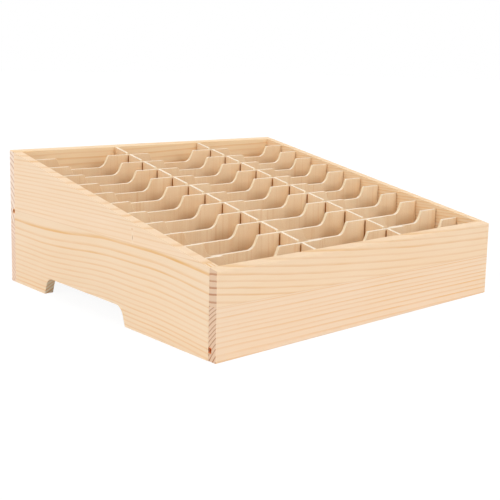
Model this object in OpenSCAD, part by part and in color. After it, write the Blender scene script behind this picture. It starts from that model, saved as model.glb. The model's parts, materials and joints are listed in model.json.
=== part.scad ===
// Slanted desk organizer: an open pine box whose rim and floor rise from front to back.
// A loose grid of thin strips splits it into compartments: the cross dividers half-lap over
// the long dividers, and each compartment's edge has a scoop for the fingers.
// The origin is on the base, midway between the sides and midway from front to back.
// The front faces -Y. All lengths are in millimetres.

/* [Box] */
// Width over the outer faces of the side panels
box_width = 360; // [320:1:440]
// Depth from the face of the front board to the face of the back board
box_depth = 330; // [280:1:420]
// Height of the front board's outer face
front_height = 72; // [64:1:95]
// Height of the back board's outer face
back_height = 136; // [115:1:180]
// Thickness of the four boards
board_thickness = 9; // [8:0.5:14]

/* [Floor] */
// Thickness of the floor panel
floor_thickness = 3; // [2.5:0.5:5]
// Height of the floor's underside above the base, at the front board's inner face
floor_rise = 8; // [6:0.5:12]
// Climb of the floor and the dividers from front to back, beyond the rim's own climb
floor_extra_climb = 3.5; // [0:0.5:6]
// Depth of the floor's grooves in the boards
groove_depth = 3.5; // [2:0.5:5]
// Gap between the floor and the walls of its grooves
groove_clearance = 0.3; // [0.1:0.1:0.6]

/* [Side cut-outs] */
// Length of the cut-out along the base
cutout_length = 139; // [100:1:160]
// Height of the cut-out
cutout_height = 17; // [12:1:24]
// Length of the foot behind the cut-out, back board included
rear_foot_length = 69; // [50:1:90]
// Lean of the cut-out's ends from upright, in degrees
cutout_lean = 19; // [5:1:35]
// Radius of the cut-out's upper corners
cutout_radius = 11; // [4:0.5:14]
// Radius on the edges of the feet
foot_edge_radius = 0.8; // [0.5:0.1:2]

/* [Compartments] */
// Number of columns from left to right
columns = 3; // [2:1:4]
// Number of rows from front to back
rows = 12; // [8:1:14]
// Thickness of the divider strips
divider_thickness = 3; // [2:0.5:4]
// Drop of the cross dividers' tops below the rim, at the front board's inner face
divider_drop = 4.5; // [2:0.5:8]
// Rise of the long dividers' tops above those of the cross dividers
long_divider_rise = 1; // [0:0.5:3]
// Gap from each end of a divider to the board that it faces
end_clearance = 1; // [0.3:0.1:2]
// Gap between the floor and the dividers above it
floor_clearance = 0.2; // [0.1:0.1:0.6]
// Gap on each side of a cross divider in a long divider's slot
long_slot_clearance = 1.2; // [0.3:0.1:2]
// Gap on each side of a long divider in a cross divider's slot
cross_slot_clearance = 0.4; // [0.2:0.1:1]

/* [Scoops] */
// Width of the full-height shoulder at each end of a compartment
shoulder_width = 25; // [15:1:32]
// Depth of the scoop below the shoulders
scoop_depth = 12; // [8:0.5:20]
// Lean of the scoop's ends from upright, in degrees
scoop_lean = 25; // [10:1:35]
// Radius of the scoop's lower corners
scoop_radius = 10; // [4:0.5:12]
// Radius where a shoulder turns down into the scoop
shoulder_radius = 2; // [0.5:0.5:4]

/* [Corner dowels] */
// Diameter of the concealed dowels
dowel_diameter = 4; // [3:0.5:5]
// Length of a dowel inside the front or back board
dowel_in_board = 6; // [4:0.5:7]
// Length of a dowel inside the end of a side panel
dowel_in_panel = 18; // [12:1:24]
// Height of the lower dowels above the base
dowel_low_height = 26; // [24:1:32]
// Distance of the upper dowels below the top of their board
dowel_top_distance = 16; // [10:1:20]
// Gap around a dowel in its holes
dowel_clearance = 0.1; // [0.05:0.05:0.2]

/* [Hidden] */
$fn = 32;
// Straight steps in a rounded corner of an outline
arc_steps = 10;
// Length by which a cutting shape passes the face that it opens
cut_overrun = 5;

pine_colour = [0.93, 0.82, 0.66];
plywood_colour = [0.86, 0.72, 0.53];
dowel_colour = [0.80, 0.65, 0.45];

inner_width = box_width - 2 * board_thickness;
inner_depth = box_depth - 2 * board_thickness;
front_inner_y = -inner_depth / 2;
back_inner_y = inner_depth / 2;

rim_slope = (back_height - front_height) / box_depth;
slope = rim_slope + floor_extra_climb / inner_depth;
floor_upright_thickness = floor_thickness / cos(atan(slope));
floor_top_rise = floor_rise + floor_upright_thickness;
divider_top_rise = rim(front_inner_y) - divider_drop;
strip_height = divider_top_rise - floor_top_rise - floor_clearance;
half_lap_drop = strip_height / 2;
cross_divider_height = strip_height - slope * divider_thickness / 2;

column_pitch = (inner_width + divider_thickness) / columns;
column_width = column_pitch - divider_thickness;
row_pitch = (inner_depth + divider_thickness) / rows;
long_slot_width = divider_thickness + 2 * long_slot_clearance;
cross_slot_width = divider_thickness + 2 * cross_slot_clearance;
scoop_opening = column_width - 2 * shoulder_width;
cutout_middle_y = box_depth / 2 - rear_foot_length - cutout_length / 2;

long_divider_count = columns - 1;
cross_divider_count = rows - 1;

function long_divider_name(index) = str("long_divider_", index);
function cross_divider_name(index) = str("cross_divider_", index < 10 ? "0" : "", index);

// Height of the rim at a distance from front to back
function rim(y) = front_height + rim_slope * (y + box_depth / 2);

// Climb of the floor and the dividers, counted from the front board's inner face
function climb(y) = slope * (y - front_inner_y);

// Middle of a long divider's thickness, from left to right
function long_divider_x(index) = -inner_width / 2 + index * column_pitch - divider_thickness / 2;

// Middle of a cross divider's thickness, from front to back
function cross_divider_y(index) = front_inner_y + index * row_pitch - divider_thickness / 2;

// Middle of a column of compartments, from left to right
function column_x(column) = -inner_width / 2 + column * column_pitch - divider_thickness - column_width / 2;

// Height at which a cross divider sits on the long dividers
function half_lap_z(index) = divider_top_rise - half_lap_drop + climb(cross_divider_y(index));

// Outline of a band parallel to the floor, with its heights given at the front board's inner face
function sloped_band(front, back, low, high) = [
    [front, low + climb(front)],
    [back, low + climb(back)],
    [back, high + climb(back)],
    [front, high + climb(front)]
];

// Outline of a board from the base to the rim
function rim_outline(front, back) = [[front, 0], [back, 0], [back, rim(back)], [front, rim(front)]];

function arc(centre, radius, from, to) = [
    for (step = [0:arc_steps])
        let (angle = from + (to - from) * step / arc_steps)
        centre + radius * [cos(angle), sin(angle)]
];

function mirrored(points) = [for (index = [len(points) - 1:-1:0]) [-points[index].x, points[index].y]];

// Right half of a notch that opens at y = 0, has leaning ends and rounded corners
function notch_half(opening, depth, lean, corner_radius, edge_radius) =
    let (
        turn = 90 - lean,
        edge_run = edge_radius * tan(turn / 2),
        corner_run = corner_radius * tan(turn / 2),
        edge_centre = [opening / 2 + edge_run, edge_radius],
        corner_centre = [opening / 2 - depth * tan(lean) - corner_run, depth - corner_radius]
    )
    concat(
        [[edge_centre.x, -cut_overrun]],
        arc(edge_centre, edge_radius, -90, -90 - turn),
        arc(corner_centre, corner_radius, lean, 90)
    );

module notch(opening, depth, lean, corner_radius, edge_radius) {
    half = notch_half(opening, depth, lean, corner_radius, edge_radius);
    polygon(concat(half, mirrored(half)));
}

// Stands an outline of depth and height up, and gives it a thickness to the right of x
module stand_sideways(x, thickness) {
    translate([x, 0, 0])
        rotate([90, 0, 90])
            linear_extrude(thickness)
                children();
}

// Stands an outline of width and height up, and gives it a thickness behind y
module stand_facing_front(y, thickness) {
    translate([0, y + thickness, 0])
        rotate([90, 0, 0])
            linear_extrude(thickness)
                children();
}

module floor_groove(width) {
    reach = inner_depth / 2 + groove_depth + groove_clearance;
    stand_sideways(-width / 2, width)
        polygon(sloped_band(
            -reach,
            reach,
            floor_rise - groove_clearance,
            floor_top_rise + groove_clearance
        ));
}

// One dowel across a butt joint, on the side and at the end given by -1 or 1
module dowel(side, end, height, clearance) {
    translate([
        side * (box_width - board_thickness) / 2,
        end * (inner_depth / 2 + dowel_in_board + clearance),
        height
    ])
        rotate([end * 90, 0, 0])
            cylinder(
                d = dowel_diameter + 2 * clearance,
                h = dowel_in_board + dowel_in_panel + 2 * clearance
            );
}

module dowel_set(clearance) {
    for (side = [-1, 1]) {
        for (height = [dowel_low_height, front_height - dowel_top_distance])
            dowel(side, -1, height, clearance);
        for (height = [dowel_low_height, back_height - dowel_top_distance])
            dowel(side, 1, height, clearance);
    }
}

module end_board(y) {
    difference() {
        stand_sideways(-box_width / 2, box_width)
            polygon(rim_outline(y, y + board_thickness));
        floor_groove(box_width + 2 * cut_overrun);
        dowel_set(dowel_clearance);
    }
}

module side_panel(x) {
    difference() {
        stand_sideways(x, board_thickness)
            difference() {
                polygon(rim_outline(front_inner_y, back_inner_y));
                translate([cutout_middle_y, 0])
                    notch(cutout_length, cutout_height, cutout_lean, cutout_radius, foot_edge_radius);
            }
        floor_groove(inner_width + 2 * (groove_depth + groove_clearance));
        dowel_set(dowel_clearance);
    }
}

module front_board() {
    color(pine_colour)
        end_board(-box_depth / 2);
}

module back_board() {
    color(pine_colour)
        end_board(back_inner_y);
}

module left_side_panel() {
    color(pine_colour)
        side_panel(-box_width / 2);
}

module right_side_panel() {
    color(pine_colour)
        side_panel(inner_width / 2);
}

module floor_panel() {
    width = inner_width + 2 * groove_depth;
    reach = inner_depth / 2 + groove_depth;
    color(plywood_colour)
        stand_sideways(-width / 2, width)
            polygon(sloped_band(-reach, reach, floor_rise, floor_top_rise));
}

module corner_dowels() {
    color(dowel_colour)
        dowel_set(0);
}

module long_divider(index) {
    reach = inner_depth / 2 - end_clearance;
    color(plywood_colour)
        stand_sideways(long_divider_x(index) - divider_thickness / 2, divider_thickness)
            difference() {
                polygon(sloped_band(
                    -reach,
                    reach,
                    floor_top_rise + floor_clearance,
                    divider_top_rise + long_divider_rise
                ));
                for (cross = [1:cross_divider_count])
                    translate([cross_divider_y(cross) - long_slot_width / 2, half_lap_z(cross)])
                        square([long_slot_width, strip_height]);
            }
}

// Outline of a cross divider, with its top at height 0
module cross_divider_outline() {
    reach = inner_width / 2 - end_clearance;
    difference() {
        translate([-reach, -cross_divider_height])
            square([2 * reach, cross_divider_height]);
        for (column = [1:columns])
            translate([column_x(column), 0])
                mirror([0, 1])
                    notch(scoop_opening, scoop_depth, scoop_lean, scoop_radius, shoulder_radius);
        for (long = [1:long_divider_count])
            translate([long_divider_x(long) - cross_slot_width / 2, -half_lap_drop - strip_height])
                square([cross_slot_width, strip_height]);
    }
}

module cross_divider(index) {
    y = cross_divider_y(index);
    color(plywood_colour)
        translate([0, 0, divider_top_rise + climb(y)])
            stand_facing_front(y - divider_thickness / 2, divider_thickness)
                cross_divider_outline();
}

front_board();
back_board();
left_side_panel();
right_side_panel();
floor_panel();
corner_dowels();
for (index = [1:long_divider_count])
    long_divider(index);
for (index = [1:cross_divider_count])
    cross_divider(index);
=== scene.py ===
"""Dresses the slanted desk organizer: sanded pine boards, a loose grid of plywood strips and the studio.

Lengths are metres in the part's own frame: the origin is on the base, midway between the sides and midway
from front to back, and the front faces -Y. Finishes measure their grain in millimetres in the same frame.
"""

import json
import logging
import math
from collections.abc import Callable, Sequence
from dataclasses import dataclass
from enum import Enum

import bmesh
import bpy
from mathutils import Matrix, Vector

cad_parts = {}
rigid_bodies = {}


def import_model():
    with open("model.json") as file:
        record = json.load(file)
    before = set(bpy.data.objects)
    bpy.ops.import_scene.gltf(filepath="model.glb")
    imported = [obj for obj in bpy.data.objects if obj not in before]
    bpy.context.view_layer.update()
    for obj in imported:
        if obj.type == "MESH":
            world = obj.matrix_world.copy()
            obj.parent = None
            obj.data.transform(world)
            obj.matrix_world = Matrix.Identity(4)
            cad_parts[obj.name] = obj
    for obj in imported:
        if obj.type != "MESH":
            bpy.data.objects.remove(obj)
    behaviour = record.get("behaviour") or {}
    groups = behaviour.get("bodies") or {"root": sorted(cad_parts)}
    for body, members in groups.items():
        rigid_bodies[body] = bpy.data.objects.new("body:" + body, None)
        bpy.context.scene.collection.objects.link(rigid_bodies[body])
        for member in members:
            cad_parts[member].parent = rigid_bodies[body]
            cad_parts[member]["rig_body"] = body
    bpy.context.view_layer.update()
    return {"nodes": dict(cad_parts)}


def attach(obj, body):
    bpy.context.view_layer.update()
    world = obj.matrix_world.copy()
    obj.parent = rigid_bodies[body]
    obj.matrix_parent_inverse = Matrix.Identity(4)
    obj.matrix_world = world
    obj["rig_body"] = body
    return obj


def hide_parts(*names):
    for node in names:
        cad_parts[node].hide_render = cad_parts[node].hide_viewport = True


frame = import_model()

LOG = logging.getLogger("desk_organizer")
MM = 0.001
# Turn between two faces above which their shared edge counts as an arris, in radians
ARRIS_TURN = math.radians(35)
# Steps across an eased arris
EASE_STEPS = 3
# The screen's curve from a channel to light: full channel, end of its straight start, slope, offset and power
FULL_CHANNEL = 255
CURVE_START = 0.04045
CURVE_SLOPE = 12.92
CURVE_OFFSET = 0.055
CURVE_POWER = 2.4

Point = tuple[float, float]
# Two values between which something comes in, from where it is absent to where it is full
Span = tuple[float, float]


class Axis(Enum):
    """A direction of the part's frame, by its place in a vector."""

    X = 0
    Y = 1
    Z = 2


class Facing(Enum):
    """How a flat outline stands in the part."""

    SIDEWAYS = "runs from front to back, with its thickness from left to right"
    FRONT = "runs from left to right, with its thickness from front to back"

    def place(self, run: float, rise: float, through: float) -> Vector:
        """Point of the frame at a place of the outline and of its thickness."""
        if self is Facing.SIDEWAYS:
            return Vector((through, run, rise))
        return Vector((run, through, rise))


class Wood(Enum):
    """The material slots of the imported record."""

    PINE = "pine"
    PLYWOOD = "plywood"
    DOWEL = "dowel_wood"


@dataclass(frozen=True)
class Tone:
    """A colour as a screen shows it, with channels from 0 to 255."""

    red: float
    green: float
    blue: float

    def linear(self) -> tuple[float, float, float, float]:
        """The colour in the linear scale that shaders use, with full alpha."""
        light = []
        for channel in (self.red, self.green, self.blue):
            part = channel / FULL_CHANNEL
            curved = ((part + CURVE_OFFSET) / (1 + CURVE_OFFSET)) ** CURVE_POWER
            light.append(part / CURVE_SLOPE if part <= CURVE_START else curved)
        return (*light, 1.0)


class Signal:
    """A number that varies over a surface. Arithmetic on it adds nodes to its material."""

    def __init__(self, graph: "Graph", socket: bpy.types.NodeSocket) -> None:
        """Wraps the output socket of a node in a graph."""
        self.graph = graph
        self.socket = socket

    def __add__(self, other: "Number") -> "Signal":
        """Sum with another number."""
        return self.graph.math("ADD", self, other)

    def __sub__(self, other: "Number") -> "Signal":
        """This number less another."""
        return self.graph.math("SUBTRACT", self, other)

    def __rsub__(self, other: "Number") -> "Signal":
        """Another number less this one."""
        return self.graph.math("SUBTRACT", other, self)

    def __mul__(self, other: "Number") -> "Signal":
        """Product with another number."""
        return self.graph.math("MULTIPLY", self, other)

    def __truediv__(self, other: "Number") -> "Signal":
        """This number divided by another."""
        return self.graph.math("DIVIDE", self, other)

    __radd__ = __add__
    __rmul__ = __mul__

    def apply(self, operation: str) -> "Signal":
        """This number through a one-sided operation, such as SQRT or FRACT."""
        return self.graph.math(operation, self)

    def ramp(self, low: float, high: float) -> "Signal":
        """Smooth rise from 0 at the low value to 1 at the high value, or a fall where low is above high."""
        node = self.graph.add("ShaderNodeMapRange", interpolation_type="SMOOTHSTEP")
        falls = low > high
        self.graph.feed(node.inputs["Value"], self)
        node.inputs["From Min"].default_value = min(low, high)
        node.inputs["From Max"].default_value = max(low, high)
        node.inputs["To Min"].default_value = 1.0 if falls else 0.0
        node.inputs["To Max"].default_value = 0.0 if falls else 1.0
        return Signal(self.graph, node.outputs[0])


Number = Signal | float
Colour = bpy.types.NodeSocket | Tone
Place = dict[Axis, Signal]


class Graph:
    """The node tree of a material or of the sky, built up by formulas."""

    def __init__(self, owner: bpy.types.Material | bpy.types.World) -> None:
        """Starts an empty tree on a material or a sky."""
        owner.use_nodes = True
        self.owner = owner
        self.tree = owner.node_tree
        self.tree.nodes.clear()

    def add(self, kind: str, **settings: object) -> bpy.types.ShaderNode:
        """Adds a node by Blender's name for its kind, with properties to set on it."""
        node = self.tree.nodes.new(kind)
        for key, value in settings.items():
            setattr(node, key, value)
        return node

    def feed(self, socket: bpy.types.NodeSocket, value: Number | Colour) -> None:
        """Links a varying value to an input socket, or sets a constant on it."""
        if isinstance(value, Signal):
            self.tree.links.new(value.socket, socket)
        elif isinstance(value, bpy.types.NodeSocket):
            self.tree.links.new(value, socket)
        elif isinstance(value, Tone):
            socket.default_value = value.linear()
        else:
            socket.default_value = value

    def math(self, operation: str, *values: Number) -> Signal:
        """Result of a Math node's operation on up to three numbers."""
        node = self.add("ShaderNodeMath", operation=operation)
        for socket, value in zip(node.inputs, values):
            self.feed(socket, value)
        return Signal(self, node.outputs[0])

    def noise(self, first: Number, second: Number, third: Number, detail: float = 1.0) -> Signal:
        """Smooth noise about 0, mostly within -0.5 and 0.5.

        Args:
            first: Place in the noise along its first direction, where 1 is one feature.
            second: Place along its second direction.
            third: Place along its third direction.
            detail: Number of finer layers that are added.

        Returns:
            The noise.
        """
        place = self.add("ShaderNodeCombineXYZ")
        for socket, value in zip(place.inputs, (first, second, third)):
            self.feed(socket, value)
        node = self.add("ShaderNodeTexNoise", noise_dimensions="3D")
        self.tree.links.new(place.outputs[0], node.inputs["Vector"])
        node.inputs["Scale"].default_value = 1.0
        node.inputs["Detail"].default_value = detail
        return Signal(self, node.outputs[0]) - 0.5

    def scatter(self, value: Signal) -> Signal:
        """A random number from 0 to 1 for each whole number."""
        node = self.add("ShaderNodeTexWhiteNoise", noise_dimensions="1D")
        self.feed(node.inputs["W"], value)
        return Signal(self, node.outputs["Value"])

    def blend(self, share: Number, first: Colour, second: Colour) -> bpy.types.NodeSocket:
        """Colour between two others: the first at a share of 0 and the second at 1."""
        node = self.add("ShaderNodeMix", data_type="RGBA")
        factor, start, end = node.inputs[0], node.inputs[6], node.inputs[7]
        self.feed(factor, share)
        self.feed(start, first)
        self.feed(end, second)
        return node.outputs[2]

    def split(self, socket: bpy.types.NodeSocket) -> Place:
        """The three parts of a vector, by axis."""
        node = self.add("ShaderNodeSeparateXYZ")
        self.tree.links.new(socket, node.inputs[0])
        return {axis: Signal(self, node.outputs[axis.value]) for axis in Axis}

    def place_and_normal(self) -> tuple[Place, Place]:
        """Place on the piece in millimetres, and the part of its outward direction along each axis."""
        source = self.add("ShaderNodeTexCoord")
        metres = self.split(source.outputs["Object"])
        normal = self.split(source.outputs["Normal"])
        return (
            {axis: part / MM for axis, part in metres.items()},
            {axis: part.apply("ABSOLUTE") for axis, part in normal.items()},
        )

    def surface(
        self, colour: Colour, roughness: Signal, relief: Signal, look: "Surface"
    ) -> bpy.types.Material:
        """Closes the graph with its shader.

        Args:
            colour: Colour over the surface.
            roughness: Roughness over the surface.
            relief: Height of the fine relief, where 1 is the full depth of the look.
            look: Gloss of the surface and depth of its relief.

        Returns:
            The finished material.
        """
        shader = self.add("ShaderNodeBsdfPrincipled")
        shader.inputs["Specular IOR Level"].default_value = look.gloss
        self.feed(shader.inputs["Base Color"], colour)
        self.feed(shader.inputs["Roughness"], roughness)
        bump = self.add("ShaderNodeBump")
        bump.inputs["Strength"].default_value = look.relief_strength
        bump.inputs["Distance"].default_value = look.relief_depth
        self.feed(bump.inputs["Height"], relief)
        self.tree.links.new(bump.outputs[0], shader.inputs["Normal"])
        output = self.add("ShaderNodeOutputMaterial")
        self.tree.links.new(shader.outputs[0], output.inputs["Surface"])
        return self.owner

    def mix(self, share: Signal, shaders: Sequence[bpy.types.ShaderNode], kind: str) -> None:
        """Closes the graph with a mix of two shaders.

        Args:
            share: Share of the second shader.
            shaders: The two shaders.
            kind: Blender's name for the output node.
        """
        mixed = self.add("ShaderNodeMixShader")
        self.feed(mixed.inputs[0], share)
        for socket, shader in zip(mixed.inputs[1:], shaders):
            self.feed(socket, shader.outputs[0])
        output = self.add(kind)
        self.feed(output.inputs["Surface"], mixed.outputs[0])


@dataclass(frozen=True)
class Surface:
    """Gloss and fine relief of a finish."""

    gloss: float = 0.3
    relief_strength: float = 0.35
    relief_depth: float = 0.15 * MM


@dataclass(frozen=True)
class Feature:
    """Size of a pattern's features, in millimetres along the grain and across it."""

    along: float
    across: float


@dataclass(frozen=True)
class RingTones:
    """Colours of a growth ring: its earlywood and its latewood."""

    pale: Tone
    dark: Tone


@dataclass(frozen=True)
class Stave:
    """One of the glued strips of a pine board, as the log's growth rings cross it.

    Attributes:
        pith_height: Height of the log's centre above the base, in millimetres.
        pith_through: Place of the log's centre along the board's thickness, in millimetres.
        ring_width: Width of a growth ring, in millimetres.
        contrast: Strength of the dark latewood lines, where 0 is none.
        tilt: Rise of the rings along the board.
        arch: Drop of the rings, in millimetres, at the reach of their arch.
        arch_middle: Place along the board of the middle of the arch, in millimetres.
        dip: Drop of the rings, in millimetres, from the level middle of their arch to its feet.
        wander: Height of the slow waves in the rings, in millimetres.
        fading: Share by which the latewood weakens away from the glue joint.
        gain: Growth of the contrast along the board, for each millimetre from its middle.
        face: Colours on faces along the grain.
        end: Colours on end grain.
    """

    pith_height: float
    pith_through: float
    ring_width: float
    contrast: float
    tilt: float = 0.0
    arch: float = 0.0
    arch_middle: float = 0.0
    dip: float = 0.0
    wander: float = 5.0
    fading: float = 0.0
    gain: float = 0.0
    face: RingTones = RingTones(Tone(247, 222, 193), Tone(233, 179, 104))
    end: RingTones = RingTones(Tone(234, 206, 180), Tone(172, 118, 84))


@dataclass(frozen=True)
class Knot:
    """A pin knot that goes through a board, and the halo around it, in millimetres."""

    along: float
    height: float
    half_width: float = 0.8
    half_height: float = 2.2
    colour: Tone = Tone(184, 122, 62)
    halo: Tone = Tone(252, 232, 206)


@dataclass(frozen=True)
class GrooveShade:
    """Painted shade in the floor's groove where it comes out at a corner, in millimetres.

    Attributes:
        height: Height of its middle.
        through: Place of its middle along the board's thickness.
        half_height: Half of its height.
        half_through: Half of its reach along the board's thickness.
        end: End of the board that shows it, as -1 or 1, or 0 for both.
        beyond: Distance from the board's middle at which it begins.
        colour: Colour of its walls, a painted shade.
    """

    height: float
    through: float
    half_height: float = 2.5
    half_through: float = 2.1
    end: float = 0.0
    beyond: float = 0.0
    colour: Tone = Tone(228, 140, 80)


@dataclass(frozen=True)
class PineTexture:
    """What all pine boards share."""

    # Waves and ripples of the rings, and the uneven widths of neighbouring rings
    waves: Feature = Feature(170, 70)
    ripples: Feature = Feature(45, 9)
    ripple_share: float = 0.22
    uneven_rings: float = 2.6
    uneven_plane: float = 0.5
    uneven_share: float = 0.9
    # An arch of the rings: its reach and half of its level middle, in millimetres
    arch_reach: float = 150.0
    arch_level: float = 25.0
    # Phases of a ring at which its latewood comes and goes, on faces and on end grain
    late_comes: Span = (0.5, 0.86)
    late_goes: Span = (1.0, 0.9)
    end_comes: Span = (0.6, 0.84)
    end_goes: Span = (1.0, 0.96)
    # Strength of the latewood: in the weakest ring, in patches along a ring, and on end grain
    least_vigour: float = 0.55
    patches: Feature = Feature(60, 5)
    patch_level: float = 0.75
    patch_share: float = 1.1
    end_vigour: float = 0.5
    end_level: float = 0.8
    # Fading away from the glue joint, and the stain that rises from the base into end grain
    fading_reach: float = 28.0
    stain_height: float = 8.0
    stain_share: float = 0.5
    # Fibres, clouds and flecks in the colour
    fibres: Feature = Feature(38, 0.7)
    clouds: Feature = Feature(110, 26)
    flecks: Feature = Feature(7, 0.45)
    fibre_share: float = 0.5
    cloud_share: float = 0.7
    mottle: Span = (-0.4, 0.5)
    mottle_share: float = 0.2
    fleck: Span = (0.16, 0.3)
    fleck_share: float = 0.25
    # The glue joint, in millimetres: its waver with the fibres, its soft edge and its dark line
    joint_waver: float = 0.3
    joint_edge: Span = (-0.15, 0.15)
    seam: Span = (0.5, 0.1)
    seam_share: float = 0.35
    # Turn of a face from which it is end grain or the planed rim, and the rim's paleness and ring marks
    end_turn: Span = (0.55, 0.85)
    rim_turn: Span = (0.85, 0.95)
    planed_share: float = 0.6
    dash_share: float = 0.9
    # Halo and core of a knot, in half sizes from its middle, and the soft edges of the painted shade in the
    # groove's ends
    halo: Span = (3.2, 1.4)
    halo_share: float = 0.4
    core: Span = (1.4, 0.3)
    core_share: float = 0.7
    groove_shade_edge: Span = (1.0, 0.9)
    groove_shade_start: float = 0.3
    # Roughness and relief, and what latewood, fibres and end grain add to them
    roughness: float = 0.62
    roughness_swing: float = 0.12
    late_relief: float = 0.1
    fibre_relief: float = 0.4
    end_relief: float = 0.2
    look: Surface = Surface()


@dataclass(frozen=True)
class PineFinish:
    """Sanded, unvarnished pine, glued up from two staves.

    Attributes:
        name: Name of the material.
        along: Direction of the grain.
        through: Direction of the board's thickness.
        lower: The stave at the base.
        upper: The stave at the rim.
        joint_height: Height of the glue joint at the middle of the board, in millimetres.
        joint_tilt: Rise of the glue joint along the board.
        knots: Pin knots in the board.
        groove_shades: Painted shade where the floor's groove shows at the corners.
        glue: Colour of the glue joint.
        planed: Colour of the planed rim.
        texture: What all pine boards share.
    """

    name: str
    along: Axis
    through: Axis
    lower: Stave
    upper: Stave
    joint_height: float
    joint_tilt: float = 0.0
    knots: tuple[Knot, ...] = ()
    groove_shades: tuple[GrooveShade, ...] = ()
    glue: Tone = Tone(226, 182, 134)
    planed: Tone = Tone(249, 218, 181)
    texture: PineTexture = PineTexture()

    def pattern(self, graph: Graph, place: Place, feature: Feature, detail: float = 1.0) -> Signal:
        """Noise drawn out along the grain, with a number of finer layers."""
        across = [place[axis] / feature.across for axis in (Axis.Z, self.through)]
        return graph.noise(place[self.along] / feature.along, *across, detail)

    def rings(self, graph: Graph, stave: Stave, place: Place) -> tuple[Signal, Signal]:
        """Growth rings of a stave.

        Args:
            graph: The material's graph.
            stave: The stave.
            place: Place on the board in millimetres.

        Returns:
            The latewood on faces along the grain and on faces across it.
        """
        pine = self.texture
        along, rise, through = place[self.along], place[Axis.Z], place[self.through]
        seed = stave.pith_height + stave.ring_width
        reach = (along - stave.arch_middle) / pine.arch_reach
        slow = graph.noise(along / pine.waves.along, rise / pine.waves.across, seed)
        lift = rise - stave.pith_height - along * stave.tilt
        lift = lift + reach * reach * stave.arch + slow * stave.wander
        if stave.dip:
            aside = (along - stave.arch_middle).apply("ABSOLUTE")
            lift = lift + aside.ramp(pine.arch_level, pine.arch_reach) * stave.dip
        depth = through - stave.pith_through
        radius = (lift * lift + depth * depth).apply("SQRT")
        ripple = self.pattern(graph, place, pine.ripples, detail=2.0) * (pine.ripple_share * stave.ring_width)
        widths = radius / (pine.uneven_rings * stave.ring_width)
        uneven = graph.noise(widths, seed, pine.uneven_plane) * pine.uneven_share
        count = (radius + ripple) / stave.ring_width + uneven
        phase = count.apply("FRACT")
        vigour = pine.least_vigour + graph.scatter(count.apply("FLOOR") + seed) * (1 - pine.least_vigour)
        patch = graph.noise(along / pine.patches.along, rise / pine.patches.across, seed)
        late = phase.ramp(*pine.late_comes) * phase.ramp(*pine.late_goes) * vigour
        late = late * (pine.patch_level + patch * pine.patch_share)
        end_late = phase.ramp(*pine.end_comes) * phase.ramp(*pine.end_goes)
        end_late = end_late * (pine.end_vigour + vigour * (1 - pine.end_vigour))
        apart = (rise - self.joint_height).apply("ABSOLUTE").ramp(0.0, pine.fading_reach)
        stain = rise.ramp(pine.stain_height, 0.0)
        late = late * (1.0 - apart * stave.fading) * (1.0 + along * stave.gain)
        return late * stave.contrast, end_late * (pine.end_level + stain * pine.stain_share)

    def material(self) -> bpy.types.Material:
        """Builds the material, in the frame of the part."""
        pine = self.texture
        graph = Graph(bpy.data.materials.new(self.name))
        place, normal = graph.place_and_normal()
        along, rise, through = place[self.along], place[Axis.Z], place[self.through]
        end = normal[self.along].ramp(*pine.end_turn)
        rim = normal[Axis.Z].ramp(*pine.rim_turn)
        fibre = self.pattern(graph, place, pine.fibres, detail=2.0)
        cloud = self.pattern(graph, place, pine.clouds, detail=2.0)
        fleck = self.pattern(graph, place, pine.flecks).ramp(*pine.fleck)
        over_joint = rise - self.joint_height - along * self.joint_tilt
        above = (over_joint + fibre * pine.joint_waver).ramp(*pine.joint_edge)

        colours = []
        latewoods = []
        for stave in (self.lower, self.upper):
            late, end_late = self.rings(graph, stave, place)
            face = graph.blend(late, stave.face.pale, stave.face.dark)
            across = graph.blend(end_late, stave.end.pale, stave.end.dark)
            colours.append(graph.blend(end, face, across))
            latewoods.append(late)
        colour = graph.blend(above, *colours)
        late = latewoods[0] * (1.0 - above) + latewoods[1] * above

        dark = self.lower.face.dark
        seam = over_joint.apply("ABSOLUTE").ramp(*pine.seam)
        mottle = (fibre * pine.fibre_share + cloud * pine.cloud_share).ramp(*pine.mottle)
        layers = [
            (seam * pine.seam_share, self.glue),
            (mottle * pine.mottle_share, dark),
            (fleck * pine.fleck_share, dark),
            (rim * (pine.planed_share - late), self.planed),
            (rim * late * pine.dash_share, dark),
        ]
        for knot in self.knots:
            aside = (along - knot.along) / knot.half_width
            over = (rise - knot.height) / knot.half_height
            spread = (aside * aside + over * over).apply("SQRT")
            layers.append((spread.ramp(*pine.halo) * pine.halo_share, knot.halo))
            layers.append((spread.ramp(*pine.core) * pine.core_share, knot.colour))
        # Painted shade: the floor's groove is coloured brown where it comes out at the corners
        for groove_shade in self.groove_shades:
            over = (rise - groove_shade.height).apply("ABSOLUTE") / groove_shade.half_height
            deep = (through - groove_shade.through).apply("ABSOLUTE") / groove_shade.half_through
            out = (along * groove_shade.end).ramp(groove_shade.beyond - pine.groove_shade_start, groove_shade.beyond)
            layers.append((over.ramp(*pine.groove_shade_edge) * deep.ramp(*pine.groove_shade_edge) * out, groove_shade.colour))
        for share, tone in layers:
            colour = graph.blend(share, colour, tone)
        roughness = pine.roughness - late * pine.roughness_swing + fibre * pine.roughness_swing
        relief = late * pine.late_relief + fibre * pine.fibre_relief - end * fibre * pine.end_relief
        return graph.surface(colour, roughness, relief, pine.look)


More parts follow.
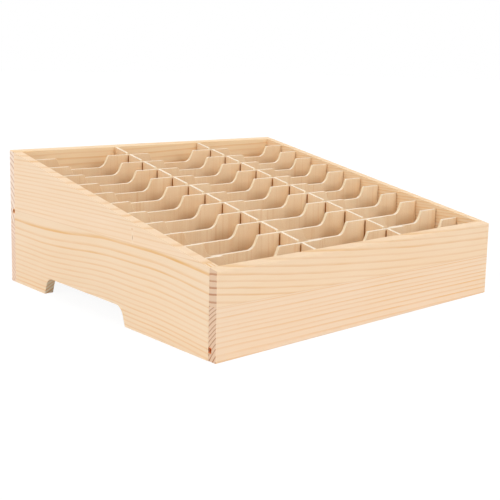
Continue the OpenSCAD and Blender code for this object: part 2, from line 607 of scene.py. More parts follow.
@dataclass(frozen=True)
class VeneerTexture:
    """What all plywood sheets share."""

    # The bow of the grain, in millimetres, and the bands, fine grain, lines, pores and specks in it
    bows: Feature = Feature(60, 40)
    bow_height: float = 3.0
    bands: Feature = Feature(220, 16)
    fine_grain: Feature = Feature(60, 1.1)
    lines: Feature = Feature(140, 3.2)
    line_offset: float = 7.0
    line: Span = (0.08, 0.24)
    pores: Feature = Feature(6, 0.5)
    pore: Span = (0.18, 0.32)
    specks: Feature = Feature(1.6, 0.9)
    # Their shares in the darker face colour, and the painted shade that darkens it towards the left, for each
    # millimetre
    band_share: float = 0.9
    fine_share: float = 0.6
    grain: Span = (-0.5, 0.6)
    grain_share: float = 0.5
    line_share: float = 0.25
    pore_share: float = 0.15
    speck_share: float = 0.35
    leftward_shade: float = 0.0005
    # Painted shade beside a crossing, in millimetres: its edge, its growth with depth and its upper end
    crossing_shade_edge: Span = (2.2, 1.3)
    crossing_shade_growth: float = 0.02
    crossing_shade_start: Span = (0.5, 2.5)
    # Plies in shares of half the thickness, the glue line between them, and turns of the sideways edges,
    # which take painted shade, and of edges
    outer_ply: Span = (0.3, 0.36)
    glue_comes: Span = (0.26, 0.33)
    glue_goes: Span = (0.4, 0.33)
    glue_share: float = 0.5
    sideways_edge_turn: Span = (0.3, 0.8)
    edge_turn: Span = (0.95, 0.8)
    # Roughness and relief, and what fine grain and pores add to them
    roughness: float = 0.66
    roughness_swing: float = 0.14
    fine_relief: float = 0.6
    pore_relief: float = 0.5
    look: Surface = Surface(gloss=0.25, relief_strength=0.25)


@dataclass(frozen=True)
class PlywoodFinish:
    """Thin three-ply sheet with a fine straight face grain and pale cut edges.

    Attributes:
        name: Name of the material.
        along: Direction of the face grain.
        through: Direction of the sheet's thickness.
        middle: Place of the sheet's middle along its thickness, in millimetres.
        thickness: Thickness of the sheet, in millimetres.
        seed: Place in the pattern, so that no two sheets look alike.
        warmth: Share of the darker face colour, which differs from sheet to sheet.
        crossings: Places across the face grain where other sheets pass, with painted shade beside them, in
            millimetres.
        top: Height of the sheet's top where others cross it, in millimetres.
        face: Pale colour of the face.
        streak: Darker colour of the face.
        edge: Colour of the outer plies on a sanded edge.
        core: Colour of the middle ply on a sanded edge.
        sideways_edge_shade: Painted shade on an edge that faces sideways.
        crossing_shade: Painted shade beside a sheet that crosses this one.
        glue: Colour of the glue between the plies.
        texture: What all plywood sheets share.
    """

    name: str
    along: Axis
    through: Axis
    middle: float
    thickness: float
    seed: float
    warmth: float
    crossings: tuple[float, ...] = ()
    top: float = 0.0
    face: Tone = Tone(253, 230, 196)
    streak: Tone = Tone(233, 190, 139)
    edge: Tone = Tone(254, 238, 216)
    core: Tone = Tone(254, 241, 222)
    sideways_edge_shade: Tone = Tone(250, 229, 194)
    crossing_shade: Tone = Tone(182, 118, 56)
    glue: Tone = Tone(214, 180, 140)
    texture: VeneerTexture = VeneerTexture()

    def material(self) -> bpy.types.Material:
        """Builds the material, in the frame of the part."""
        sheet = self.texture
        graph = Graph(bpy.data.materials.new(self.name))
        place, normal = graph.place_and_normal()
        side_axis = next(axis for axis in Axis if axis not in (self.along, self.through))
        along, through = place[self.along], place[self.through]
        straight = place[side_axis] + self.seed
        bow = graph.noise(along / sheet.bows.along, straight / sheet.bows.across, self.seed)
        side = straight + bow * sheet.bow_height

        def pattern(feature: Feature, detail: float = 1.0, offset: float = 0.0) -> Signal:
            """Noise drawn out along the face grain, at the sheet's own place in the pattern."""
            return graph.noise(side / feature.across, along / feature.along, self.seed + offset, detail)

        band = pattern(sheet.bands, detail=2.0)
        fine = pattern(sheet.fine_grain, detail=2.0)
        line = pattern(sheet.lines, offset=sheet.line_offset).ramp(*sheet.line)
        pore = pattern(sheet.pores).ramp(*sheet.pore)
        grain = (band * sheet.band_share + fine * sheet.fine_share).ramp(*sheet.grain)
        share = grain * sheet.grain_share + line * sheet.line_share + pore * sheet.pore_share
        share = share + self.warmth + pattern(sheet.specks) * sheet.speck_share
        # Painted shade: the cross strips and the floor grow darker towards the left
        if side_axis is Axis.X:
            share = share - place[Axis.X] * sheet.leftward_shade
        veneer = graph.blend(share, self.face, self.streak)
        # Painted shade: the face darkens beside each crossing sheet, more widely further below the top
        below = self.top - along
        for crossing in self.crossings:
            apart = (place[side_axis] - crossing).apply("ABSOLUTE") - below * sheet.crossing_shade_growth
            crossing_shade_share = apart.ramp(*sheet.crossing_shade_edge) * below.ramp(*sheet.crossing_shade_start)
            veneer = graph.blend(crossing_shade_share, veneer, self.crossing_shade)

        layer = (through - self.middle).apply("ABSOLUTE") / (self.thickness / 2)
        ply = graph.blend(layer.ramp(*sheet.outer_ply), self.core, self.edge)
        glue = layer.ramp(*sheet.glue_comes) * layer.ramp(*sheet.glue_goes)
        ply = graph.blend(glue * sheet.glue_share, ply, self.glue)
        # Painted shade: edges that face sideways are darker than the tops
        ply = graph.blend(normal[side_axis].ramp(*sheet.sideways_edge_turn), ply, self.sideways_edge_shade)
        colour = graph.blend(normal[self.through].ramp(*sheet.edge_turn), veneer, ply)
        roughness = sheet.roughness + fine * sheet.roughness_swing
        relief = fine * sheet.fine_relief - pore * sheet.pore_relief
        return graph.surface(colour, roughness, relief, sheet.look)


@dataclass(frozen=True)
class DowelFinish:
    """Plain turned hardwood with a fine grain along the peg."""

    name: str = "dowel_beech"
    pale: Tone = Tone(226, 190, 146)
    dark: Tone = Tone(186, 140, 96)
    fibres: Feature = Feature(14, 0.8)
    mottle: Span = (-0.4, 0.4)
    roughness: float = 0.6
    roughness_swing: float = 0.1
    look: Surface = Surface()

    def material(self) -> bpy.types.Material:
        """Builds the material, in the frame of the part."""
        graph = Graph(bpy.data.materials.new(self.name))
        place, _ = graph.place_and_normal()
        across = [place[axis] / self.fibres.across for axis in (Axis.X, Axis.Z)]
        fibre = graph.noise(*across, place[Axis.Y] / self.fibres.along, detail=2.0)
        colour = graph.blend(fibre.ramp(*self.mottle), self.pale, self.dark)
        return graph.surface(colour, self.roughness + fibre * self.roughness_swing, fibre, self.look)


def arc(centre: Point, radius: float, start: float, stop: float, steps: int) -> list[Point]:
    """Points along part of a circle.

    Args:
        centre: Centre of the circle.
        radius: Radius of the circle.
        start: Angle of the first point, in radians.
        stop: Angle of the last point, in radians.
        steps: Number of straight steps.

    Returns:
        The points, ends included.
    """
    turns = [start + (stop - start) * step / steps for step in range(steps + 1)]
    return [(centre[0] + radius * math.cos(turn), centre[1] + radius * math.sin(turn)) for turn in turns]


@dataclass(frozen=True)
class Notch:
    """A notch in a straight edge, with rounded corners and ends that lean by degrees from upright."""

    opening: float
    depth: float
    lean: float
    corner_radius: float
    edge_radius: float
    arc_steps: int = 12

    def half(self) -> list[Point]:
        """Points from one end of the opening to the bottom, measured from the middle of the opening."""
        lean = math.radians(self.lean)
        upright = math.pi / 2
        turn = upright - lean
        edge_run = self.edge_radius * math.tan(turn / 2)
        corner_run = self.corner_radius * math.tan(turn / 2)
        edge_centre = (self.opening / 2 + edge_run, self.edge_radius)
        corner_centre = (
            self.opening / 2 - self.depth * math.tan(lean) - corner_run,
            self.depth - self.corner_radius,
        )
        mouth = arc(edge_centre, self.edge_radius, -upright, -upright - turn, self.arc_steps)
        return mouth + arc(corner_centre, self.corner_radius, lean, upright, self.arc_steps)

    def across(self, middle: float) -> list[Point]:
        """Points from the low end of the opening to the high end, about a middle."""
        half = self.half()
        low = [(middle - run, rise) for run, rise in half]
        high = [(middle + run, rise) for run, rise in reversed(half)]
        return low + high


@dataclass(frozen=True)
class Slab:
    """A flat outline with a thickness and eased arrises.

    Attributes:
        outline: Points of the outline, as run and rise.
        facing: How the outline stands in the part.
        low: Lower end of the thickness.
        high: Higher end of the thickness.
        ease: Radius of the easing at the middle of an arris.
    """

    outline: Sequence[Point]
    facing: Facing
    low: float
    high: float
    ease: Callable[[Vector], float]

    def shape(self) -> bmesh.types.BMesh:
        """The plain prism."""
        shape = bmesh.new()
        rings = [
            [shape.verts.new(self.facing.place(run, rise, through)) for run, rise in self.outline]
            for through in (self.low, self.high)
        ]
        for ring in rings:
            shape.faces.new(ring)
        first, second = rings
        for index in range(len(first)):
            before = index - 1
            shape.faces.new((first[before], first[index], second[index], second[before]))
        bmesh.ops.recalc_face_normals(shape, faces=shape.faces)
        shape.normal_update()
        return shape

    def build(self, name: str, cutter: bpy.types.Object | None = None) -> bpy.types.Object:
        """Builds the piece.

        Args:
            name: Name of the piece.
            cutter: Closed shapes to cut out of it, which are used up.

        Returns:
            The piece, with its edges eased and its cuts made.
        """
        shape = self.shape()
        weights = shape.edges.layers.float.new("bevel_weight_edge")
        arrises = [edge for edge in shape.edges if edge.is_convex and edge.calc_face_angle() > ARRIS_TURN]
        radii = [self.ease((edge.verts[0].co + edge.verts[1].co) / 2) for edge in arrises]
        widest = max(radii)
        for edge, radius in zip(arrises, radii):
            edge[weights] = radius / widest
        piece = place_mesh(name, shape)
        bevel = piece.modifiers.new("eased_arrises", "BEVEL")
        bevel.width = widest
        bevel.segments = EASE_STEPS
        bevel.limit_method = "WEIGHT"
        if cutter is not None:
            cut = piece.modifiers.new("cuts", "BOOLEAN")
            cut.operation = "DIFFERENCE"
            cut.solver = "EXACT"
            cut.object = cutter
        settle(piece)
        if cutter is not None:
            bpy.data.objects.remove(cutter)
        smooth(piece)
        return piece


def place_mesh(name: str, shape: bmesh.types.BMesh) -> bpy.types.Object:
    """Puts a shape into the scene as a new object, and frees it."""
    mesh = bpy.data.meshes.new(name)
    shape.to_mesh(mesh)
    shape.free()
    piece = bpy.data.objects.new(name, mesh)
    bpy.context.scene.collection.objects.link(piece)
    return piece


def settle(piece: bpy.types.Object) -> None:
    """Replaces a piece's mesh by what its modifiers make of it."""
    graph = bpy.context.evaluated_depsgraph_get()
    made = bpy.data.meshes.new_from_object(piece.evaluated_get(graph))
    piece.modifiers.clear()
    plain = piece.data
    piece.data = made
    made.name = piece.name
    bpy.data.meshes.remove(plain)


def smooth(piece: bpy.types.Object) -> None:
    """Shades a piece smooth over its round stretches and flat over its flats."""
    piece.data.shade_smooth()
    piece.data.set_sharp_from_angle(angle=ARRIS_TURN)
    weighted = piece.modifiers.new("flat_faces", "WEIGHTED_NORMAL")
    weighted.keep_sharp = True
    settle(piece)


def dress(piece: bpy.types.Object, node: str, material: bpy.types.Material) -> None:
    """Gives a piece its finish and makes it stand for a node of the frame.

    Args:
        piece: The piece.
        node: Name of the node.
        material: The finish.
    """
    piece.data.materials.clear()
    piece.data.materials.append(material)
    body = frame["nodes"][node]["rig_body"]
    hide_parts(node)
    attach(piece, body)
    LOG.info("%s stands for %s on body %s, %d faces", piece.name, node, body, len(piece.data.polygons))


@dataclass(frozen=True)
class Dowels:
    """Concealed fluted pegs in the butt joints of the box."""

    diameter: float = 4 * MM
    in_board: float = 6 * MM
    in_panel: float = 18 * MM
    low_height: float = 26 * MM
    top_distance: float = 16 * MM
    clearance: float = 0.1 * MM
    chamfer: float = 0.5 * MM
    flutes: int = 12
    flute_depth: float = 0.1 * MM
    sides: int = 48

    def peg(
        self, shape: bmesh.types.BMesh, x: float, start: float, stop: float, z: float, spare: float
    ) -> None:
        """Adds one peg to a shape.

        Args:
            shape: Shape that takes the peg.
            x: Place of the peg from left to right.
            start: Place of one end from front to back.
            stop: Place of the other end from front to back.
            z: Height of the peg.
            spare: Growth of the peg on all sides, for a hole. A peg without spare is fluted.
        """
        radius = self.diameter / 2 + spare
        grow = math.copysign(spare, stop - start)
        ease = math.copysign(self.chamfer, stop - start)
        stations = [
            (start - grow, radius - self.chamfer),
            (start - grow + ease, radius),
            (stop + grow - ease, radius),
            (stop + grow, radius - self.chamfer),
        ]
        if spare:
            stations = [(start - grow, radius), (stop + grow, radius)]
        rings = []
        for y, reach in stations:
            ring = []
            for side in range(self.sides):
                turn = math.tau * side / self.sides
                groove = 0.0 if spare else self.flute_depth * (0.5 - 0.5 * math.cos(self.flutes * turn))
                spoke = reach - groove
                ring.append(shape.verts.new((x + spoke * math.cos(turn), y, z + spoke * math.sin(turn))))
            rings.append(ring)
        shape.faces.new(rings[0])
        shape.faces.new(rings[-1])
        for near, far in zip(rings, rings[1:]):
            for side in range(self.sides):
                shape.faces.new((near[side - 1], near[side], far[side], far[side - 1]))

    def fill(self, shape: bmesh.types.BMesh, box: "Box", spare: float) -> None:
        """Adds all the pegs of a box to a shape, or its peg holes where the pegs have some spare."""
        middle = (box.width - box.board) / 2
        for x in (-middle, middle):
            for end, height in ((-1, box.front_height), (1, box.back_height)):
                joint = end * box.inner_depth / 2
                for z in (self.low_height, height - self.top_distance):
                    self.peg(shape, x, joint + end * self.in_board, joint - end * self.in_panel, z, spare)
        bmesh.ops.recalc_face_normals(shape, faces=shape.faces)


@dataclass(frozen=True)
class Box:
    """The pine box: two end boards, two side panels, the floor between them and the pegs in the joints."""

    width: float = 360 * MM
    depth: float = 330 * MM
    front_height: float = 72 * MM
    back_height: float = 136 * MM
    board: float = 9 * MM
    floor_thickness: float = 3 * MM
    floor_rise: float = 8 * MM
    floor_extra_climb: float = 3.5 * MM
    groove_depth: float = 3.5 * MM
    groove_clearance: float = 0.3 * MM
    cutout: Notch = Notch(
        opening=139 * MM, depth=17 * MM, lean=19, corner_radius=11 * MM, edge_radius=0.8 * MM
    )
    rear_foot: float = 69 * MM
    arris: float = 0.7 * MM
    joint_arris: float = 0.25 * MM
    cutout_arris: float = 0.4 * MM
    floor_arris: float = 0.2 * MM
    cut_overrun: float = 5 * MM
    dowels: Dowels = Dowels()

    @property
    def inner_width(self) -> float:
        """Width between the side panels."""
        return self.width - 2 * self.board

    @property
    def inner_depth(self) -> float:
        """Depth between the end boards."""
        return self.depth - 2 * self.board

    @property
    def rim_slope(self) -> float:
        """Rise of the rim for each metre from front to back."""
        return (self.back_height - self.front_height) / self.depth

    @property
    def slope(self) -> float:
        """Rise of the floor and the dividers for each metre from front to back."""
        return self.rim_slope + self.floor_extra_climb / self.inner_depth

    @property
    def floor_top_rise(self) -> float:
        """Height of the floor's top at the front board."""
        return self.floor_rise + self.floor_thickness * math.hypot(1, self.slope)

    @property
    def cutout_middle(self) -> float:
        """Middle of a side panel's cut-out from front to back."""
        return self.depth / 2 - self.rear_foot - self.cutout.opening / 2

    def rim(self, y: float) -> float:
        """Height of the rim at a place from front to back."""
        return self.front_height + self.rim_slope * (y + self.depth / 2)

    def climb(self, y: float) -> float:
        """Climb of the floor from the front board's inner face to a place."""
        return self.slope * (y + self.inner_depth / 2)

    def band(self, reach: float, low: float, high: float) -> list[Point]:
        """Outline of a band parallel to the floor.

        Args:
            reach: Distance of its ends from the middle of the box.
            low: Height of its underside at the front board's inner face.
            high: Height of its top there.

        Returns:
            The four corners.
        """
        ends = ((-reach, low), (reach, low), (reach, high), (-reach, high))
        return [(y, rise + self.climb(y)) for y, rise in ends]

    def cuts(self, name: str, half_width: float) -> bpy.types.Object:
        """The floor's groove, up to half its width, and the peg holes as one object to cut out."""
        reach = self.inner_depth / 2 + self.groove_depth + self.groove_clearance
        low = self.floor_rise - self.groove_clearance
        high = self.floor_top_rise + self.groove_clearance
        groove = Slab(self.band(reach, low, high), Facing.SIDEWAYS, -half_width, half_width, lambda _: 0.0)
        shape = groove.shape()
        self.dowels.fill(shape, self, self.dowels.clearance)
        return place_mesh(name, shape)

    def ease(self, point: Vector) -> float:
        """Radius of an arris: small where boards meet and in the cut-outs, larger where hands reach."""
        if abs(abs(point.y) - self.inner_depth / 2) < self.joint_arris:
            return self.joint_arris
        in_cutout = abs(point.y - self.cutout_middle) < self.cutout.opening and point.z <= self.cutout.depth
        return self.cutout_arris if in_cutout else self.arris

    def end_board(self, node: str, outer_y: float, inner_y: float) -> bpy.types.Object:
        """One of the two boards that run the full width, by the places of its outer and inner face."""
        top = [(y, self.rim(y)) for y in (inner_y, outer_y)]
        outline = [(outer_y, 0.0), (inner_y, 0.0), *top]
        slab = Slab(outline, Facing.SIDEWAYS, -self.width / 2, self.width / 2, self.ease)
        return slab.build(f"pine_{node}", self.cuts(f"{node}_cuts", self.width / 2 + self.cut_overrun))

    def side_panel(self, node: str, low_x: float) -> bpy.types.Object:
        """One of the two panels between the end boards, by the place of its left face."""
        front = -self.inner_depth / 2
        back = self.inner_depth / 2
        outline = [
            (front, 0.0),
            *self.cutout.across(self.cutout_middle),
            (back, 0.0),
            (back, self.rim(back)),
            (front, self.rim(front)),
        ]
        slab = Slab(outline, Facing.SIDEWAYS, low_x, low_x + self.board, self.ease)
        reach = self.inner_width / 2 + self.groove_depth + self.groove_clearance
        return slab.build(f"pine_{node}", self.cuts(f"{node}_cuts", reach))

    def floor_panel(self) -> bpy.types.Object:
        """The sloping floor in the boards' grooves."""
        reach = self.inner_depth / 2 + self.groove_depth
        half_width = self.inner_width / 2 + self.groove_depth
        outline = self.band(reach, self.floor_rise, self.floor_top_rise)
        slab = Slab(outline, Facing.SIDEWAYS, -half_width, half_width, lambda _: self.floor_arris)
        return slab.build("plywood_floor_panel")

    def corner_dowels(self) -> bpy.types.Object:
        """The pegs of the butt joints."""
        shape = bmesh.new()
        self.dowels.fill(shape, self, 0.0)
        piece = place_mesh("fluted_corner_dowels", shape)
        smooth(piece)
        return piece

    def build(self) -> None:
        """Builds and dresses the box."""
        for node, side, finish in (("front_board", -1, FRONT_PINE), ("back_board", 1, BACK_PINE)):
            board = self.end_board(node, side * self.depth / 2, side * self.inner_depth / 2)
            dress(board, node, finish.material())
        left = ("left_side_panel", -self.width / 2, LEFT_PINE)
        right = ("right_side_panel", self.inner_width / 2, RIGHT_PINE)
        for node, low_x, finish in (left, right):
            dress(self.side_panel(node, low_x), node, finish.material())
        dress(self.floor_panel(), "floor_panel", FLOOR_PLYWOOD.material())
        dress(self.corner_dowels(), "corner_dowels", DowelFinish().material())


@dataclass(frozen=True)
class DividerGrid:
    """The loose grid: long dividers with slots from above, and scooped cross dividers that lap over them."""

    box: Box
    columns: int = 3
    rows: int = 12
    thickness: float = 3 * MM
    drop: float = 4.5 * MM
    long_rise: float = 1 * MM
    end_clearance: float = 1 * MM
    floor_clearance: float = 0.2 * MM
    long_slot_clearance: float = 1.2 * MM
    cross_slot_clearance: float = 0.4 * MM
    shoulder: float = 25 * MM
    scoop_depth: float = 12 * MM
    scoop_lean: float = 25
    scoop_radius: float = 10 * MM
    shoulder_radius: float = 2 * MM
    arris: float = 0.3 * MM
    # Finish of the strips: step of the pattern, first chance, and what makes up a strip's warmth
    seed_step: float = 53.0
    first_chance: float = 0.15
    least_warmth: float = -0.1
    warmth_swing: float = 0.2
    cross_warming: float = 0.012
    long_warming: float = 0.14

    @property
    def top_rise(self) -> float:
        """Height of the cross dividers' tops at the front board's inner face."""
        return self.box.rim(-self.box.inner_depth / 2) - self.drop

    @property
    def strip_height(self) -> float:
        """Upright height from the floor to the cross dividers' tops."""
        return self.top_rise - self.box.floor_top_rise - self.floor_clearance

    @property
    def column_pitch(self) -> float:
        """Distance from one long divider to the next."""
        return (self.box.inner_width + self.thickness) / self.columns

    @property
    def row_pitch(self) -> float:
        """Distance from one cross divider to the next."""
        return (self.box.inner_depth + self.thickness) / self.rows

    @property
    def scoop(self) -> Notch:
        """The finger scoop in the top of a cross divider."""
        opening = self.column_pitch - self.thickness - 2 * self.shoulder
        return Notch(opening, self.scoop_depth, self.scoop_lean, self.scoop_radius, self.shoulder_radius)

    def long_x(self, index: int) -> float:
        """Middle of a long divider from left to right, counted from 1."""
        return -self.box.inner_width / 2 + index * self.column_pitch - self.thickness / 2

    def cross_y(self, index: int) -> float:
        """Middle of a cross divider from front to back, counted from 1."""
        return -self.box.inner_depth / 2 + index * self.row_pitch - self.thickness / 2

    def long_divider(self, name: str, index: int) -> bpy.types.Object:
        """A long divider, by its name and its number from the left, from 1."""
        reach = self.box.inner_depth / 2 - self.end_clearance
        foot = self.box.floor_top_rise + self.floor_clearance
        long_top = self.top_rise + self.long_rise
        front_foot, back_foot, back_top, front_top = self.box.band(reach, foot, long_top)
        half_slot = self.thickness / 2 + self.long_slot_clearance
        slots = []
        for cross in range(self.rows - 1, 0, -1):
            y = self.cross_y(cross)
            seat = self.top_rise - self.strip_height / 2 + self.box.climb(y)
            for edge, rises in ((y + half_slot, (None, seat)), (y - half_slot, (seat, None))):
                top = long_top + self.box.climb(edge)
                slots += [(edge, top if rise is None else rise) for rise in rises]
        outline = [front_foot, back_foot, back_top, *slots, front_top]
        low = self.long_x(index) - self.thickness / 2
        return Slab(outline, Facing.SIDEWAYS, low, low + self.thickness, lambda _: self.arris).build(name)

    def cross_divider(self, name: str, index: int) -> bpy.types.Object:
        """A cross divider, by its name and its number from the front, from 1."""
        y = self.cross_y(index)
        top = self.top_rise + self.box.climb(y)
        bottom = top - self.strip_height + self.box.slope * self.thickness / 2
        lap = top - self.strip_height / 2
        reach = self.box.inner_width / 2 - self.end_clearance
        half_slot = self.thickness / 2 + self.cross_slot_clearance
        outline = [(-reach, bottom)]
        for long in range(1, self.columns):
            low, high = self.long_x(long) - half_slot, self.long_x(long) + half_slot
            outline += [(low, bottom), (low, lap), (high, lap), (high, bottom)]
        outline += [(reach, bottom), (reach, top)]
        for column in range(self.columns, 0, -1):
            middle = -self.box.inner_width / 2 + (column - 0.5) * self.column_pitch - self.thickness / 2
            outline += [(x, top - depth) for x, depth in reversed(self.scoop.across(middle))]
        outline.append((-reach, top))
        low = y - self.thickness / 2
        return Slab(outline, Facing.FRONT, low, low + self.thickness, lambda _: self.arris).build(name)

    def build(self) -> None:
        """Builds and dresses the dividers."""
        for index in range(1, self.columns):
            node = f"long_divider_{index}"
            finish = self.plywood(node, Axis.X, self.long_x(index), index)
            dress(self.long_divider(f"plywood_{node}", index), node, finish.material())
        for index in range(1, self.rows):
            node = f"cross_divider_{index:02d}"
            finish = self.plywood(node, Axis.Y, self.cross_y(index), self.columns + index)
            dress(self.cross_divider(f"plywood_{node}", index), node, finish.material())

    def plywood(self, node: str, through: Axis, middle: float, number: int) -> PlywoodFinish:
        """Finish of one strip, with its own place in the pattern and its own warmth.

        Args:
            node: Name of the strip's node.
            through: Direction of its thickness.
            middle: Place of its middle along its thickness.
            number: Number of the strip among all strips.

        Returns:
            The finish.
        """
        golden = (math.sqrt(5) - 1) / 2
        chance = (number * golden + self.first_chance) % 1
        crosses = through is Axis.Y
        grade = self.cross_warming * number if crosses else self.long_warming
        return PlywoodFinish(
            name=f"plywood_{node}",
            along=Axis.Z,
            through=through,
            middle=middle / MM,
            thickness=self.thickness / MM,
            seed=self.seed_step * number,
            warmth=self.least_warmth + self.warmth_swing * chance + grade,
            crossings=tuple(self.long_x(long) / MM for long in range(1, self.columns) if crosses),
            top=(self.top_rise + self.box.climb(middle)) / MM,
        )


# Heights of the middle of the floor's groove in the front and back boards, in millimetres
FRONT_GROOVE = 9.1
REAR_GROOVE = 73.9
# Distances of its middle from the middle of the box, in the end boards and in the side panels
END_GROOVE_PLACE = 157.9
SIDE_GROOVE_PLACE = 175.0
# Painted shade in the rear end of the floor's groove, paler than at the front
REAR_GROOVE_SHADE = Tone(244, 186, 130)
LATEWOOD = Tone(233, 179, 104)
PANEL_END = RingTones(Tone(255, 242, 216), Tone(244, 176, 108))
# Painted shade on the floor panel's edges, which show only inside the open ends of the groove
FLOOR_EDGE_SHADE = Tone(222, 132, 74)


def side_groove_shades(through: float, half_through: float = 4.2, beyond: float = 155.5) -> tuple[GrooveShade, GrooveShade]:
    """Painted shade at the front and the rear end of the floor's groove on a side panel, in millimetres."""
    front = GrooveShade(FRONT_GROOVE, through, half_through=half_through, end=-1, beyond=beyond)
    rear = GrooveShade(REAR_GROOVE, through, half_through=half_through, end=1, beyond=beyond, colour=REAR_GROOVE_SHADE)
    return front, rear


LEFT_PINE = PineFinish(
    name="pine_left_side_panel",
    along=Axis.Y,
    through=Axis.X,
    lower=Stave(
        pith_height=94.4, pith_through=-231, ring_width=3.5, contrast=1.2,
        arch_middle=-50, dip=7.5, wander=3, fading=0.4,
        end=PANEL_END,
    ),
    upper=Stave(
        pith_height=300, pith_through=-170, ring_width=3.8, contrast=0.62,
        tilt=-0.02, wander=3,
        face=RingTones(Tone(249, 223, 195), Tone(235, 186, 118)),
    ),
    joint_height=75,
    knots=(
        Knot(along=-54.2, height=80.2, half_width=0.6),
        Knot(
            along=-53.6, height=87.4, half_width=1.6, half_height=0.9,
            colour=Tone(232, 190, 140),
            halo=Tone(249, 223, 195),
        ),
    ),
    groove_shades=side_groove_shades(-SIDE_GROOVE_PLACE),
)
RIGHT_PINE = PineFinish(
    name="pine_right_side_panel",
    along=Axis.Y,
    through=Axis.X,
    lower=Stave(
        pith_height=150, pith_through=110, ring_width=3.4, contrast=0.85,
        arch=-2.0, arch_middle=30,
        end=PANEL_END,
    ),
    upper=Stave(
        pith_height=-60, pith_through=140, ring_width=3.0, contrast=0.75,
        tilt=-0.02,
        face=RingTones(Tone(249, 222, 186), Tone(234, 178, 98)),
    ),
    joint_height=66,
    knots=(Knot(along=62, height=48),),
    groove_shades=side_groove_shades(SIDE_GROOVE_PLACE),
)
FRONT_PINE = PineFinish(
    name="pine_front_board",
    along=Axis.X,
    through=Axis.Y,
    lower=Stave(
        pith_height=-41, pith_through=-225, ring_width=2.9, contrast=0.74,
        tilt=-0.015, wander=2.5, gain=0.0016,
        face=RingTones(Tone(244, 218, 191), LATEWOOD),
        end=RingTones(Tone(228, 198, 172), Tone(164, 102, 70)),
    ),
    upper=Stave(
        pith_height=280, pith_through=-129, ring_width=5.7, contrast=0.62,
        tilt=-0.085, arch=-3.9, wander=2.5, gain=-0.0008,
        face=RingTones(Tone(244, 217, 186), Tone(226, 172, 106)),
        end=RingTones(Tone(227, 197, 170), Tone(176, 106, 62)),
    ),
    joint_height=41.8,
    joint_tilt=-0.0125,
    groove_shades=(GrooveShade(FRONT_GROOVE, -END_GROOVE_PLACE),),
)
BACK_PINE = PineFinish(
    name="pine_back_board",
    along=Axis.X,
    through=Axis.Y,
    lower=Stave(
        pith_height=-30, pith_through=200, ring_width=3.4, contrast=0.85,
        tilt=0.02,
        end=RingTones(Tone(244, 218, 200), Tone(206, 164, 136)),
    ),
    upper=Stave(
        pith_height=36, pith_through=218, ring_width=5.0, contrast=0.62,
        tilt=0.02,
        face=RingTones(Tone(252, 224, 184), Tone(234, 178, 106)),
        end=RingTones(Tone(248, 228, 212), Tone(196, 150, 124)),
    ),
    joint_height=62,
    groove_shades=(GrooveShade(REAR_GROOVE, END_GROOVE_PLACE, colour=REAR_GROOVE_SHADE),),
)
FLOOR_PLYWOOD = PlywoodFinish(
    name="plywood_floor_panel",
    along=Axis.Y,
    through=Axis.Z,
    middle=0.0,
    thickness=3.0,
    seed=11.0,
    warmth=0.05,
    edge=FLOOR_EDGE_SHADE,
    core=FLOOR_EDGE_SHADE,
    sideways_edge_shade=FLOOR_EDGE_SHADE,
    glue=Tone(170, 92, 46),
)


def bearing(azimuth: float, elevation: float) -> Vector:
    """Direction from the object, in degrees from the front towards the right and above the horizon."""
    turn, lift = math.radians(azimuth), math.radians(elevation)
    level = math.cos(lift)
    return Vector((math.sin(turn) * level, -math.cos(turn) * level, math.sin(lift)))


@dataclass(frozen=True)
class Viewpoint:
    """The photograph's camera. Angles are in degrees, and pixels are counted from the image's upper left."""

    azimuth: float = -41.0
    elevation: float = 8.61
    roll: float = 1.1
    position: tuple[float, float, float] = (-593.2 * MM, -653.5 * MM, 223.3 * MM)
    focal_pixels: float = 877.0
    axis_pixel: Point = (230.0, 200.0)
    image_pixels: float = 500.0
    sensor_millimetres: float = 36.0

    def build(self) -> None:
        """Makes the camera and hands it to the scene."""
        azimuth, roll = math.radians(self.azimuth), math.radians(self.roll)
        back = bearing(self.azimuth, self.elevation)
        right = Vector((math.cos(azimuth), math.sin(azimuth), 0.0))
        up = back.cross(right)
        turned_right = right * math.cos(roll) + up * math.sin(roll)
        turned_up = up * math.cos(roll) - right * math.sin(roll)
        data = bpy.data.cameras.new("photograph")
        data.sensor_width = self.sensor_millimetres
        data.lens = self.sensor_millimetres * self.focal_pixels / self.image_pixels
        data.shift_x = 0.5 - self.axis_pixel[0] / self.image_pixels
        data.shift_y = self.axis_pixel[1] / self.image_pixels - 0.5
        camera = bpy.data.objects.new("photograph", data)
        turn = Matrix((turned_right, turned_up, back)).transposed().to_4x4()
        camera.matrix_world = Matrix.Translation(self.position) @ turn
        bpy.context.scene.collection.objects.link(camera)
        bpy.context.scene.camera = camera


@dataclass(frozen=True)
class Softbox:
    """A broad, even lamp far from the object.

    Attributes:
        name: Name of the lamp.
        azimuth: Direction that it stands in, in degrees from the front towards the right.
        elevation: Its height above the horizon, in degrees.
        spread: Its breadth as the object sees it, in degrees.
        strength: Light on a surface that faces it, in watts per square metre.
    """

    name: str
    azimuth: float
    elevation: float
    spread: float
    strength: float

    def build(self) -> None:
        """Puts the lamp into the scene."""
        data = bpy.data.lights.new(self.name, "SUN")
        data.energy = self.strength
        data.angle = math.radians(self.spread)
        lamp = bpy.data.objects.new(self.name, data)
        lamp.rotation_mode = "QUATERNION"
        lamp.rotation_quaternion = bearing(self.azimuth, self.elevation).to_track_quat("Z", "Y")
        bpy.context.scene.collection.objects.link(lamp)


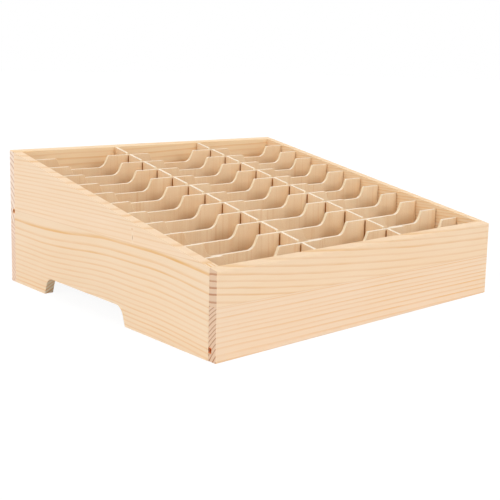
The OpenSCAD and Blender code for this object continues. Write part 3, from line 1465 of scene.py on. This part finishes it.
@dataclass(frozen=True)
class Studio:
    """A white floor under an even white sky, with seven soft lamps."""

    floor_reach: float = 20.0
    floor_drop: float = 0.1 * MM
    floor_white: float = 0.95
    floor_glow_share: float = 0.88
    floor_glow: float = 1.06
    sky_strength: float = 0.15
    lamps: tuple[Softbox, ...] = (
        Softbox("front_softbox", azimuth=9, elevation=26, spread=28, strength=0.91),
        Softbox("right_front_softbox", azimuth=34, elevation=14, spread=34, strength=0.36),
        Softbox("low_softbox", azimuth=-45, elevation=12, spread=36, strength=0.22),
        Softbox("left_softbox", azimuth=-91, elevation=25, spread=50, strength=1.3),
        Softbox("right_softbox", azimuth=98, elevation=32, spread=50, strength=0.5),
        Softbox("rear_softbox", azimuth=172, elevation=25, spread=60, strength=0.6),
        Softbox("top_softbox", azimuth=0, elevation=85, spread=60, strength=0.84),
    )

    def seen_share(self, graph: Graph) -> Signal:
        """Light-path test that is 1 for what the camera sees, straight or in gloss or glass."""
        path = graph.add("ShaderNodeLightPath")
        share = Signal(graph, path.outputs["Is Camera Ray"])
        for name in ("Is Glossy Ray", "Is Transmission Ray"):
            share = graph.math("MAXIMUM", share, Signal(graph, path.outputs[name]))
        return share

    def build_floor(self) -> None:
        """The floor, which takes the object's shadow."""
        shape = bmesh.new()
        bmesh.ops.create_grid(shape, x_segments=1, y_segments=1, size=self.floor_reach)
        floor = place_mesh("studio_floor", shape)
        floor.location.z = -self.floor_drop
        graph = Graph(bpy.data.materials.new("studio_floor"))
        matte = graph.add("ShaderNodeBsdfDiffuse")
        matte.inputs["Color"].default_value = (self.floor_white, self.floor_white, self.floor_white, 1.0)
        glow = graph.add("ShaderNodeEmission")
        glow.inputs["Strength"].default_value = self.floor_glow
        share = self.seen_share(graph) * self.floor_glow_share
        graph.mix(share, (matte, glow), "ShaderNodeOutputMaterial")
        floor.data.materials.append(graph.owner)

    def build_sky(self) -> None:
        """The even white sky: it lights at a plain level and shows as white."""
        graph = Graph(bpy.data.worlds.new("studio_sky"))
        light = graph.add("ShaderNodeBackground")
        light.inputs["Strength"].default_value = self.sky_strength
        shown = graph.add("ShaderNodeBackground")
        for node in (light, shown):
            node.inputs["Color"].default_value = (1.0, 1.0, 1.0, 1.0)
        graph.mix(self.seen_share(graph), (light, shown), "ShaderNodeOutputWorld")
        bpy.context.scene.world = graph.owner

    def build(self) -> None:
        """Sets up the floor, the light and the view settings."""
        self.build_floor()
        self.build_sky()
        for lamp in self.lamps:
            lamp.build()
        bpy.context.scene.view_settings.view_transform = "Standard"


def main() -> None:
    """Builds the organizer, the studio and the camera."""
    logging.basicConfig(level=logging.INFO, format="%(name)s: %(message)s")
    box = Box()
    box.build()
    DividerGrid(box).build()
    Studio().build()
    Viewpoint().build()


if __name__ == "__main__":
    main()
